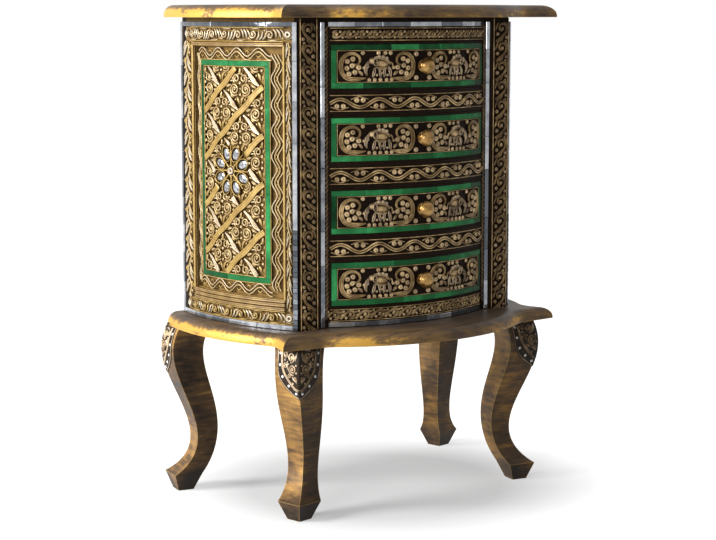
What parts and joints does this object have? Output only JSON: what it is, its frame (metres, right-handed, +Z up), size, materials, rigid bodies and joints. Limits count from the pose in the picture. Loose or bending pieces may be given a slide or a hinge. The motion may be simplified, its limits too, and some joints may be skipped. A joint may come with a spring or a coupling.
{
  "type": "mosaic cabinet",
  "caption": "Bow-fronted chest of drawers on curved square legs, with carved gilt relief, green glass borders, mirror strips and turned knobs; the drawers slide out to the front.",
  "frame": {"origin": "on the floor, under the middle of the top and base boards", "axes": "+Z up, the drawers open towards -Y, +X to the right seen from the front"},
  "size_m": [0.572, 0.3839, 0.757],
  "materials": {
    "gilt_board": "brown lacquer over gold leaf, rubbed through to bright gold along the rounded edges",
    "leg_wood": "brushed golden brown stain with worn arrises, satin",
    "gilt_carving": "antique gold relief rubbed over a dark brown ground",
    "plain_wood": "bare planed wood",
    "mirror_glass": "silvered glass",
    "green_glass": "emerald glass over a dark backing",
    "knob_brass": "brushed antique brass, darker in the neck",
    "screw_steel": "zinc plated"
  },
  "bodies": {
    "carcass": {"top_panel": "gilt_board", "base_panel": "gilt_board", "front_left_leg": "leg_wood", "front_right_leg": "leg_wood", "rear_left_leg": "leg_wood", "rear_right_leg": "leg_wood", "front_left_post": "gilt_carving", "front_right_post": "gilt_carving", "rear_left_post": "gilt_carving", "rear_right_post": "gilt_carving", "left_front_stile": "gilt_carving", "right_front_stile": "gilt_carving", "bottom_front_rail": "gilt_carving", "lower_front_rail": "gilt_carving", "middle_front_rail": "gilt_carving", "upper_front_rail": "gilt_carving", "top_front_rail": "gilt_carving", "left_side_stiles": "gilt_carving", "left_side_rails": "gilt_carving", "left_side_panel": "gilt_carving", "right_side_stiles": "gilt_carving", "right_side_rails": "gilt_carving", "right_side_panel": "gilt_carving", "knee_plaques": "gilt_carving", "back_panel": "plain_wood", "drawer_runners": "plain_wood", "dowels": "plain_wood", "front_mirror_strips": "mirror_glass", "left_mirror_strips": "mirror_glass", "right_mirror_strips": "mirror_glass", "side_mirror_flowers": "mirror_glass", "side_green_borders": "green_glass"},
    "drawer_1": {"drawer_1_front": "gilt_carving", "drawer_1_sides": "plain_wood", "drawer_1_back": "plain_wood", "drawer_1_bottom": "plain_wood", "drawer_1_green_border": "green_glass", "drawer_1_knob": "knob_brass", "drawer_1_knob_screw": "screw_steel"},
    "drawer_2": {"drawer_2_front": "gilt_carving", "drawer_2_sides": "plain_wood", "drawer_2_back": "plain_wood", "drawer_2_bottom": "plain_wood", "drawer_2_green_border": "green_glass", "drawer_2_knob": "knob_brass", "drawer_2_knob_screw": "screw_steel"},
    "drawer_3": {"drawer_3_front": "gilt_carving", "drawer_3_sides": "plain_wood", "drawer_3_back": "plain_wood", "drawer_3_bottom": "plain_wood", "drawer_3_green_border": "green_glass", "drawer_3_knob": "knob_brass", "drawer_3_knob_screw": "screw_steel"},
    "drawer_4": {"drawer_4_front": "gilt_carving", "drawer_4_sides": "plain_wood", "drawer_4_back": "plain_wood", "drawer_4_bottom": "plain_wood", "drawer_4_green_border": "green_glass", "drawer_4_knob": "knob_brass", "drawer_4_knob_screw": "screw_steel"}
  },
  "joints": [
    {"name": "drawer_1_slide", "type": "slide", "parent": "carcass", "child": "drawer_1", "axis": [0, -1, 0], "range_m": [0, 0.18]},
    {"name": "drawer_2_slide", "type": "slide", "parent": "carcass", "child": "drawer_2", "axis": [0, -1, 0], "range_m": [0, 0.18]},
    {"name": "drawer_3_slide", "type": "slide", "parent": "carcass", "child": "drawer_3", "axis": [0, -1, 0], "range_m": [0, 0.18]},
    {"name": "drawer_4_slide", "type": "slide", "parent": "carcass", "child": "drawer_4", "axis": [0, -1, 0], "range_m": [0, 0.18]}
  ]
}
